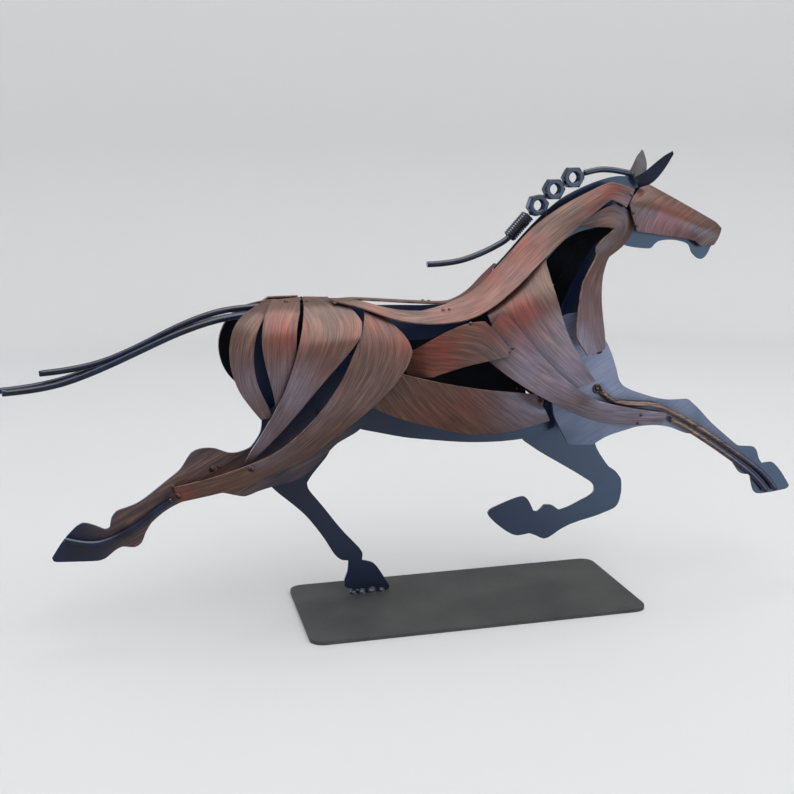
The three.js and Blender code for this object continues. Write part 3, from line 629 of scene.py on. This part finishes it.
def finish_strips(context, grains):
    """Finishes strips on both sides, each with the angle that it was brushed at."""
    slots = [paint_of(brushed_copper_brown), paint_of(black_primer), paint_of(rubbed_edge_and_highlight)]
    for strip, degrees in grains.items():
        for node, facing in ((f"{strip}_{side}", facing) for side, facing in SIDES.items()):
            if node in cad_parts:
                finish_sheet(context.scene.horse_sizes, node, slots, degrees * facing)
    return {"FINISHED"}


class HORSE_OT_rump_strips(bpy.types.Operator):
    """Make the four overlapping strips of each haunch"""

    bl_idname = "horse.rump_strips"
    bl_label = "Rump strips"

    def execute(self, context):
        return finish_strips(context, {f"rump_strip_{i}": 6 for i in (1, 2, 3, 4)})


class HORSE_OT_barrel_strips(bpy.types.Operator):
    """Make the rib and belly strips, which are brushed across at a slant"""

    bl_idname = "horse.barrel_strips"
    bl_label = "Rib and belly strips"

    def execute(self, context):
        return finish_strips(context, {"rib_strip": 24, "belly_strip": 34})


class HORSE_OT_shoulder_strips(bpy.types.Operator):
    """Make the upper and lower shoulder strips"""

    bl_idname = "horse.shoulder_strips"
    bl_label = "Shoulder strips"

    def execute(self, context):
        return finish_strips(context, {"shoulder_strip_upper": 5, "shoulder_strip_lower": 4})


class HORSE_OT_neck_strips(bpy.types.Operator):
    """Make the back, neck and throat strips"""

    bl_idname = "horse.neck_strips"
    bl_label = "Neck strips"

    def execute(self, context):
        return finish_strips(context, {"back_strip": 0, "neck_strip": 0, "throat_strip": 0})


class HORSE_OT_cheeks(bpy.types.Operator):
    """Make the two cheek plates"""

    bl_idname = "horse.cheeks"
    bl_label = "Cheek plates"

    def execute(self, context):
        return finish_strips(context, {"cheek_plate": 50})


class HORSE_OT_ears(bpy.types.Operator):
    """Make the two folded ears"""

    bl_idname = "horse.ears"
    bl_label = "Ears"

    def execute(self, context):
        for side, maker in (("near", gloss_navy), ("far", dull_grey)):
            finish_sheet(context.scene.horse_sizes, f"ear_{side}", [paint_of(maker)] * 3)
        return {"FINISHED"}


# ---- flat plate ----------------------------------------------------------------------------------


def near_outline(node, square_on=0.9):
    """A flat plate's near face, as one face inside its outline."""
    bm = merged_copy(node)
    bmesh.ops.delete(bm, geom=[f for f in bm.faces if -f.normal.y < square_on], context="FACES")
    bmesh.ops.dissolve_faces(bm, faces=bm.faces[:])
    return bm


def turn_at(vert):
    """How sharply an outline turns at a vertex, in radians."""
    a, b = [(e.other_vert(vert).co - vert.co) for e in vert.link_edges]
    return math.pi - a.angle(b)


def finish_plate(node, width, cell=mm(9), corner=math.radians(24), cuts=4, passes=3):
    """Makes a flat plate from its CAD node, with smooth curves between its corners and rounded edges."""
    low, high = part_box(node)
    bm = near_outline(node)
    corners = {v for v in bm.verts if turn_at(v) > corner}
    bmesh.ops.subdivide_edges(bm, edges=bm.edges[:], cuts=cuts)
    loose = [v for v in bm.verts if v not in corners]
    for _ in range(passes):
        bmesh.ops.smooth_vert(bm, verts=loose, factor=0.5, use_axis_x=True, use_axis_z=True)
    for axis in (Vector((1, 0, 0)), Vector((0, 0, 1))):
        steps = int((high - low).dot(axis) / cell)
        for i in range(1, steps + 1):
            at = low + axis * cell * i
            whole = bm.verts[:] + bm.edges[:] + bm.faces[:]
            bmesh.ops.bisect_plane(bm, geom=whole, dist=mm(0.02), plane_co=at, plane_no=axis)
    made = bmesh.ops.extrude_face_region(bm, geom=bm.faces[:])["geom"]
    back = [v for v in made if isinstance(v, bmesh.types.BMVert)]
    bmesh.ops.translate(bm, verts=back, vec=(0, high.y - low.y, 0))
    bmesh.ops.recalc_face_normals(bm, faces=bm.faces[:])
    piece = finished(f"{node}_finish", bm, [paint_of(navy_lacquer)], node)
    # Painted shade on the plates, at eight tenths of its strength on the strips.
    lay_paint_and_light(piece.data, node, *PAINT_AND_SHEEN_ON_PLATES.get(node, ((), ())), dark_paint_and_shade=0.8)
    soften(piece, width)


class HORSE_OT_middle_frame(bpy.types.Operator):
    """Make the flat plates in the horse's middle plane"""

    bl_idname = "horse.middle_frame"
    bl_label = "Middle frame"

    def execute(self, context):
        for node in ("back_plate", "crest_plate", "throat_plate", "belly_plate"):
            finish_plate(node, context.scene.horse_sizes.edge_round)
        return {"FINISHED"}


class HORSE_OT_legs(bpy.types.Operator):
    """Make the four flat legs"""

    bl_idname = "horse.legs"
    bl_label = "Legs"

    def execute(self, context):
        for node in ("hind_leg_near", "hind_leg_far", "foreleg_near", "foreleg_far"):
            finish_plate(node, context.scene.horse_sizes.edge_round)
        return {"FINISHED"}


class HORSE_OT_base_plate(bpy.types.Operator):
    """Make the base plate, with its rounded corners and softened rim"""

    bl_idname = "horse.base_plate"
    bl_label = "Base plate"

    def execute(self, context):
        bm = merged_copy("base_plate")
        bmesh.ops.dissolve_limit(bm, angle_limit=math.radians(1), verts=bm.verts[:], edges=bm.edges[:])
        upright = [e for e in bm.edges if abs(e.verts[0].co.z - e.verts[1].co.z) > mm(1)]
        bmesh.ops.bevel(
            bm,
            geom=upright,
            offset=mm(0.9),
            segments=2,
            profile=0.5,
            affect="EDGES",
            material=-1,
            clamp_overlap=True,
        )
        piece = finished("base_plate_finish", bm, [paint_of(charcoal_powder_coat)], "base_plate")
        soften(piece, mm(0.5), segments=3)
        return {"FINISHED"}


# ---- rod, nuts and spring ------------------------------------------------------------------------


ROD = {"grow": mm(0.2), "end_angle": math.radians(60), "end_crease": 0.9}


def finish_rod(node, maker):
    """Makes a round rod from its eight-sided CAD node."""
    bm = merged_copy(node)
    bmesh.ops.join_triangles(
        bm, faces=bm.faces[:], angle_face_threshold=math.pi, angle_shape_threshold=math.pi
    )
    # smoothing draws an eight-sided tube in by a tenth of its radius, so it starts that much larger
    ways = {v: v.normal.copy() for v in bm.verts}
    for vert, way in ways.items():
        vert.co += way * ROD["grow"]
    crease = bm.edges.layers.float.new("crease_edge")
    for edge in bm.edges:
        if len(edge.link_faces) == 2 and edge.calc_face_angle() > ROD["end_angle"]:
            edge[crease] = ROD["end_crease"]
    piece = finished(f"{node}_finish", bm, [paint_of(maker)], node)
    smooth = piece.modifiers.new("Round section", "SUBSURF")
    smooth.levels = smooth.render_levels = 2


class HORSE_OT_tail_rods(bpy.types.Operator):
    """Make the three rods of the tail"""

    bl_idname = "horse.tail_rods"
    bl_label = "Tail rods"

    def execute(self, context):
        for i in (1, 2, 3):
            finish_rod(f"tail_rod_{i}", gloss_navy)
        return {"FINISHED"}


class HORSE_OT_leg_rods(bpy.types.Operator):
    """Make the rods that lie along the near legs"""

    bl_idname = "horse.leg_rods"
    bl_label = "Leg rods"

    def execute(self, context):
        finish_rod("hind_leg_rod", gloss_navy)
        for node in ("foreleg_rod_upper", "foreleg_rod_lower"):
            finish_rod(node, rod_brown)
        return {"FINISHED"}


class HORSE_OT_mane_rods(bpy.types.Operator):
    """Make the two rods of the mane"""

    bl_idname = "horse.mane_rods"
    bl_label = "Mane rods"

    def execute(self, context):
        for node in ("mane_rod_front", "mane_rod_rear"):
            finish_rod(node, gloss_navy)
        return {"FINISHED"}


NUT = {
    "flats": mm(13),
    "chamfer": 0.97,  # the round top face, as a share of the width across the flats
    "chamfer_slope": math.tan(math.radians(28)),
    "hole": mm(6.8),
    "lead": mm(0.7),  # how much wider the hole is at its mouth
    "lead_depth": mm(0.5),
    "clear": mm(0.1),
    "pitch": mm(1.25),
    "sides": 72,
}
THREAD = ((0.0, 0.0), (0.25, 0.45), (0.5, 0.75), (0.75, 0.45))  # down in pitches, and deep in mm


def hex_reach(angle):
    """How far a nut's outline is from its middle, in the direction of an angle."""
    off = (angle + math.pi / 6) % (math.pi / 3) - math.pi / 6
    return NUT["flats"] / 2 / math.cos(off)


def nut_rings(half):
    """The rings of a nut's skin, from its lower outline up, in and down the bore, and out again.

    Each ring is a height and a reach. No reach stands for the hex outline, with its corners chamfered.
    """
    flat, bore = NUT["flats"] / 2 * NUT["chamfer"], NUT["hole"] / 2
    mouth, inside = bore + NUT["lead"], bore + NUT["clear"]
    rings = [(-half, None), (half, None), (half, flat), (half, mouth), (half - NUT["lead_depth"], inside)]
    for i in range(int((2 * half - mm(1.2)) / NUT["pitch"])):
        top = half - mm(0.6) - i * NUT["pitch"]
        rings += [(top - drop * NUT["pitch"], bore + mm(depth) * 0.9) for drop, depth in THREAD]
    return rings + [(-half + NUT["lead_depth"], inside), (-half, mouth), (-half, flat), (-half, None)]


def nut_shape(turn, thickness):
    """A chamfered hex nut with a threaded bore along Z, as a bmesh around the origin."""
    bm = bmesh.new()
    made = bmesh.ops.create_circle(bm, cap_ends=False, radius=NUT["flats"] / 2, segments=NUT["sides"])
    verts, edges = made["verts"], bm.edges[:]
    for i, (height, reach) in enumerate(nut_rings(thickness / 2)):
        if i > 0:
            grown = bmesh.ops.extrude_edge_only(bm, edges=edges)["geom"]
            verts = [v for v in grown if isinstance(v, bmesh.types.BMVert)]
            edges = [e for e in grown if isinstance(e, bmesh.types.BMEdge)]
        for vert in verts:
            angle = math.atan2(vert.co.y, vert.co.x)
            out, up = reach, height
            if reach is None:
                out = hex_reach(angle - turn)
                sunk = max(0.0, out - NUT["flats"] / 2 * NUT["chamfer"]) * NUT["chamfer_slope"]
                up -= math.copysign(sunk, height)
            vert.co = Vector((out * math.cos(angle), out * math.sin(angle), up))
    bmesh.ops.remove_doubles(bm, verts=bm.verts, dist=mm(0.005))
    bmesh.ops.recalc_face_normals(bm, faces=bm.faces[:])
    return bm


class HORSE_OT_mane_nuts(bpy.types.Operator):
    """Make the three hex nuts of the mane"""

    bl_idname = "horse.mane_nuts"
    bl_label = "Mane nuts"

    def execute(self, context):
        for node, turn in (("mane_nut_1", 0), ("mane_nut_2", 0), ("mane_nut_3", 11)):
            low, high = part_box(node)
            bm = nut_shape(math.radians(30 + turn), high.y - low.y)
            bmesh.ops.rotate(bm, verts=bm.verts, matrix=Matrix.Rotation(math.pi / 2, 3, "X"))
            bmesh.ops.translate(bm, verts=bm.verts, vec=(low + high) / 2)
            piece = finished(f"{node}_finish", bm, [paint_of(gloss_navy)], node)
            soften(piece, mm(0.2), math.radians(22))
        return {"FINISHED"}


SPRING_ENDS = ((34.2, 244.3), (47.6, 258.7))  # X and height over the base plate, mm
SPRING_RADIUS, SPRING_TURNS, STEPS_PER_TURN = mm(4.0), 11, 20


class HORSE_OT_mane_spring(bpy.types.Operator):
    """Make the close-wound spring at the foot of the mane"""

    bl_idname = "horse.mane_spring"
    bl_label = "Mane spring"

    def execute(self, context):
        wire = context.scene.horse_sizes.wire / 2
        start, end = [Vector((mm(x), MIDDLE, BASE_TOP + mm(z))) for x, z in SPRING_ENDS]
        bm = bmesh.new()
        made = bmesh.ops.create_circle(bm, cap_ends=True, radius=wire, segments=10)
        bmesh.ops.rotate(bm, verts=bm.verts, matrix=Matrix.Rotation(math.pi / 2, 3, "X"))
        bmesh.ops.translate(bm, verts=bm.verts, vec=(SPRING_RADIUS, 0, wire))
        steps = STEPS_PER_TURN * SPRING_TURNS
        rise = ((end - start).length - 2 * wire) / steps
        bmesh.ops.spin(
            bm,
            geom=bm.verts[:] + bm.edges[:] + bm.faces[:],
            cent=(0, 0, 0),
            axis=(0, 0, 1),
            dvec=(0, 0, rise),
            angle=2 * math.pi * SPRING_TURNS,
            steps=steps,
        )
        bmesh.ops.rotate(bm, verts=bm.verts, matrix=(end - start).to_track_quat("Z", "Y").to_matrix())
        bmesh.ops.translate(bm, verts=bm.verts, vec=start)
        bmesh.ops.recalc_face_normals(bm, faces=bm.faces[:])
        piece = finished("mane_spring_finish", bm, [paint_of(gloss_navy)], "mane_spring")
        return {"FINISHED"}


# ---- welds ---------------------------------------------------------------------------------------

# X and height over the base plate in mm, and size against a tack weld, of the lumps on each side.
BALL_WELDS = (
    (92.8, 168.1, 1.9), (50, 136.4, 1.9), (56.5, 129.2, 1.8), (-144.4, 106.6, 2.0), (-192, 93.7, 1.6),
    (-189.8, 89.6, 1.8), (-60.6, 148.4, 1.7),
)
TACK_WELDS = (
    (-167.8, 103.8, 1.6), (-163, 105, 1.2), (-9.1, 194, 1.3), (-5, 193.6, 1.0), (19.3, 175.5, 1.2),
    (22, 177, 0.8), (-87, 207, 1.1), (-104, 208, 1.0), (-117, 208.5, 1.0), (115, 271, 1.1),
    (117, 259, 1.0), (120, 250, 0.9), (88, 166.5, 0.9), (84, 166.8, 0.8), (122.5, 123, 1.0),
    (121, 117, 0.9), (-20, 201.5, 1.0), (-16, 201.8, 0.8),
)
# X and height over the base plate and radius, in mm, of the lumps between the nuts, spring and crest.
CREST_WELDS = (
    (58.6, 258.6, 2.6), (71.6, 278.4, 1.7), (59, 270.4, 1.7), (49.6, 260, 2.0), (85.4, 284.6, 1.6),
    (120.5, 283.6, 2.2), (46, 252.4, 1.6), (37, 243.4, 1.6), (-207, 182.4, 1.0),
)
HOOF_WELDS = ((-72, 2.6), (-66, 3.4), (-59, 4.0), (-52, 2.8))  # X and radius in mm, along the standing foot
RING_WELD = {"at": (92, 142), "radius": mm(2.6), "wire": mm(0.95)}  # where the upper foreleg rod starts
BALL_SIZE = 1.5  # a lump on the sides that is larger than this is a ball
ROUNDNESS = {"ball": 0.75, "tack": 0.6, "crest": 0.9, "hoof": 0.55}  # height of a lump against its radius
LUMPY = {"share": 0.1, "scale": 420}  # how rough a lump is


def weld_lump(bm, at, normal, size, roundness):
    """Adds one lump of weld metal, pressed flat along a normal."""
    made = bmesh.ops.create_icosphere(bm, subdivisions=3, radius=size)["verts"]
    for vert in made:
        vert.co *= 1 + LUMPY["share"] * noise.noise((vert.co + at) * LUMPY["scale"])
    bmesh.ops.scale(bm, verts=made, vec=(1, 1, roundness))
    bmesh.ops.rotate(bm, verts=made, matrix=normal.to_track_quat("Z", "Y").to_matrix())
    bmesh.ops.translate(bm, verts=made, vec=at)


def weld_ring(bm, at, normal, radius, wire, steps=28, sides=10):
    """Adds a ring of wire that lies flat against a surface."""
    turn = normal.to_track_quat("Z", "Y")
    loops = []
    for around in (2 * math.pi * i / steps for i in range(steps)):
        loop = []
        for over in (2 * math.pi * j / sides for j in range(sides)):
            out = radius + wire * math.cos(over)
            spot = Vector((out * math.cos(around), out * math.sin(around), wire * math.sin(over)))
            loop.append(bm.verts.new(at + turn @ spot))
        loops.append(loop)
    for i in range(steps):
        for j in range(sides):
            bm.faces.new((loops[i - 1][j - 1], loops[i][j - 1], loops[i][j], loops[i - 1][j]))


def side_spot(x, z, facing, clear=mm(70)):
    """The point on one side's surface over a point in the middle plane, and its normal."""
    start = Vector((mm(x), MIDDLE + facing * clear, BASE_TOP + mm(z)))
    hit, normal, _, _ = SURFACE.ray_cast(start, Vector((0, -facing, 0)))
    if hit is None:
        hit, normal, _, _ = SURFACE.find_nearest(start)
    return hit, normal


class HORSE_OT_welds(bpy.types.Operator):
    """Make the lumps of weld metal that hold the pieces together"""

    bl_idname = "horse.welds"
    bl_label = "Welds"

    def execute(self, context):
        tack = context.scene.horse_sizes.weld
        for side, facing in SIDES.items():
            bm = bmesh.new()
            for x, z, size in BALL_WELDS + TACK_WELDS:
                at, normal = side_spot(x, z, facing)
                weld_lump(bm, at, normal, size * tack, ROUNDNESS["ball" if size > BALL_SIZE else "tack"])
            if side == "near":
                at, normal = side_spot(*RING_WELD["at"], facing)
                weld_ring(bm, at - normal * mm(0.2), normal, RING_WELD["radius"], RING_WELD["wire"])
                weld_lump(bm, at, normal, RING_WELD["radius"] * 0.7, ROUNDNESS["tack"])
            finished(f"welds_{side}", bm, [paint_of(weld_metal)])
        bm = bmesh.new()
        for x, z, radius in CREST_WELDS:
            at = Vector((mm(x), MIDDLE, BASE_TOP + mm(z)))
            weld_lump(bm, at, Vector((0, -1, 0)), mm(radius), ROUNDNESS["crest"])
        for foot, facing in zip(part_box("hind_leg_far"), SIDES.values()):
            for x, radius in HOOF_WELDS:
                at = Vector((mm(x), foot.y, BASE_TOP + mm(0.6)))
                weld_lump(bm, at, Vector((0.2, facing, 0.9)), mm(radius), ROUNDNESS["hoof"])
        finished("navy_welds", bm, [paint_of(gloss_navy)])
        return {"FINISHED"}


# ---- stage ---------------------------------------------------------------------------------------

BOWL = {"flat": 1.25, "bend": 0.35, "wall": 3.0, "sides": 96, "steps": 24}  # floor and backdrop, in metres
CAMERA = {
    "at": (-0.213, -0.707, 0.2925),
    "heading": -13.323,
    "down": 11.459,
    "roll": -0.606,
    "lens": 51.3,
    "sensor": 36,
}
ROOM_LIGHT = {"tone": (0.97, 0.985, 1.0, 1), "strength": 0.25}
SKYLIGHT = (0.45, 0.68, 1.0)
LIGHTS = (  # name, place, aim, size, power in watts, tone, and whether only gloss shows it
    ("Ceiling softbox", (0.2, -0.3, 1.9), (0, 0, 0.1), (2.6, 2.6), 46, (0.985, 0.99, 1.0), False),
    ("Window", (1.25, -1.25, 0.05), (0, 0, 0.14), (1.5, 1.2), 14, SKYLIGHT, True),
    ("Rear window", (-1.2, 1.4, 0.2), (0, 0, 0.14), (1.6, 1.2), 16, SKYLIGHT, True),
)


def bowl_shape():
    """The floor and backdrop as a bmesh: a round floor that bends up into a wall all round."""
    bm = bmesh.new()
    bmesh.ops.create_circle(bm, cap_ends=True, radius=BOWL["flat"] / 2, segments=BOWL["sides"])
    rim = bm.edges[:]
    bends = [math.pi / 2 * i / BOWL["steps"] for i in range(BOWL["steps"] + 1)]
    profile = [(BOWL["flat"] + BOWL["bend"] * math.sin(a), BOWL["bend"] * (1 - math.cos(a))) for a in bends]
    for out, up in [*profile, (BOWL["flat"] + BOWL["bend"], BOWL["wall"])]:
        grown = bmesh.ops.extrude_edge_only(bm, edges=rim)["geom"]
        for vert in [v for v in grown if isinstance(v, bmesh.types.BMVert)]:
            vert.co = (*(vert.co.xy.normalized() * out), up)
        rim = [e for e in grown if isinstance(e, bmesh.types.BMEdge)]
    bmesh.ops.recalc_face_normals(bm, faces=bm.faces[:])
    return bm


def make_floor(scene):
    """Makes the floor and backdrop, a hair under the base plate, with no mirror image or shadow of its own."""
    bm = bowl_shape()
    floor = bpy.data.objects.new("floor", bpy.data.meshes.new("floor"))
    bm.to_mesh(floor.data)
    bm.free()
    floor.data.polygons.foreach_set("use_smooth", [True] * len(floor.data.polygons))
    material, _, shader = start_material("Pale floor", Roughness=0.9)
    shader.inputs["Base Color"].default_value = rgba(scene.horse_colours.floor)
    floor.data.materials.append(material)
    floor.location.z = -mm(0.05)
    floor.visible_glossy = floor.visible_shadow = False
    scene.collection.objects.link(floor)


def make_room(scene):
    """Makes the faint light that comes from all round."""
    world = bpy.data.worlds.new("Soft room")
    world.use_nodes = True
    background = world.node_tree.nodes["Background"]
    background.inputs["Color"].default_value = ROOM_LIGHT["tone"]
    background.inputs["Strength"].default_value = ROOM_LIGHT["strength"]
    scene.world = world


def area_light(name, at, aim, size, power, tone, glossy_only):
    """Makes a soft rectangular light that the camera doesn't see."""
    data = bpy.data.lights.new(name, "AREA")
    data.shape, data.size, data.size_y = "RECTANGLE", *size
    data.energy, data.color = power, tone
    light = bpy.data.objects.new(name, data)
    light.location = at
    light.rotation_euler = (Vector(aim) - Vector(at)).to_track_quat("-Z", "Y").to_euler()
    light.visible_diffuse = not glossy_only
    light.visible_camera = False
    bpy.context.scene.collection.objects.link(light)


def make_camera(scene):
    """Makes the camera, on the near side of the sculpture and a little over it."""
    data = bpy.data.cameras.new("Camera")
    data.lens, data.sensor_width = CAMERA["lens"], CAMERA["sensor"]
    camera = bpy.data.objects.new("Camera", data)
    camera.matrix_world = (
        Matrix.Translation(CAMERA["at"])
        @ Matrix.Rotation(math.radians(CAMERA["heading"]), 4, "Z")
        @ Matrix.Rotation(math.radians(90 - CAMERA["down"]), 4, "X")
        @ Matrix.Rotation(math.radians(CAMERA["roll"]), 4, "Z")
    )
    scene.collection.objects.link(camera)
    scene.camera = camera


class HORSE_OT_stage(bpy.types.Operator):
    """Make the pale floor with a backdrop all round, the lights and the camera"""

    bl_idname = "horse.stage"
    bl_label = "Stage"

    def execute(self, context):
        scene = context.scene
        scene.view_settings.view_transform = "Standard"
        make_floor(scene)
        make_room(scene)
        for light in LIGHTS:
            area_light(*light)
        make_camera(scene)
        return {"FINISHED"}


# ---- panel, registration and main ----------------------------------------------------------------

OPERATORS = (
    HORSE_OT_stage,
    HORSE_OT_base_plate,
    HORSE_OT_middle_frame,
    HORSE_OT_legs,
    HORSE_OT_rump_strips,
    HORSE_OT_barrel_strips,
    HORSE_OT_shoulder_strips,
    HORSE_OT_neck_strips,
    HORSE_OT_cheeks,
    HORSE_OT_ears,
    HORSE_OT_tail_rods,
    HORSE_OT_leg_rods,
    HORSE_OT_mane_rods,
    HORSE_OT_mane_nuts,
    HORSE_OT_mane_spring,
    HORSE_OT_welds,
)


class HORSE_PT_pieces(bpy.types.Panel):
    """Lists the sculpture's sizes, colours and pieces"""

    bl_idname = "HORSE_PT_pieces"
    bl_label = "Scrap metal horse"
    bl_space_type = "VIEW_3D"
    bl_region_type = "UI"
    bl_category = "Horse"

    def draw(self, context):
        for group in (context.scene.horse_sizes, context.scene.horse_colours):
            box = self.layout.box()
            for name in group.__annotations__:
                box.prop(group, name)
        for operator in OPERATORS:
            self.layout.operator(operator.bl_idname)


CLASSES = (HorseColours, HorseSizes, *OPERATORS, HORSE_PT_pieces)


def register():
    """Adds the properties, operators and panel to Blender."""
    for cls in CLASSES:
        bpy.utils.register_class(cls)
    bpy.types.Scene.horse_colours = PointerProperty(type=HorseColours)
    bpy.types.Scene.horse_sizes = PointerProperty(type=HorseSizes)


def unregister():
    """Takes them out again, in the opposite order."""
    del bpy.types.Scene.horse_sizes
    del bpy.types.Scene.horse_colours
    for cls in reversed(CLASSES):
        bpy.utils.unregister_class(cls)


def main():
    """Makes everything in the order of OPERATORS."""
    register()
    for operator in OPERATORS:
        group, name = operator.bl_idname.split(".")
        getattr(getattr(bpy.ops, group), name)()


if __name__ == "__main__":
    main()
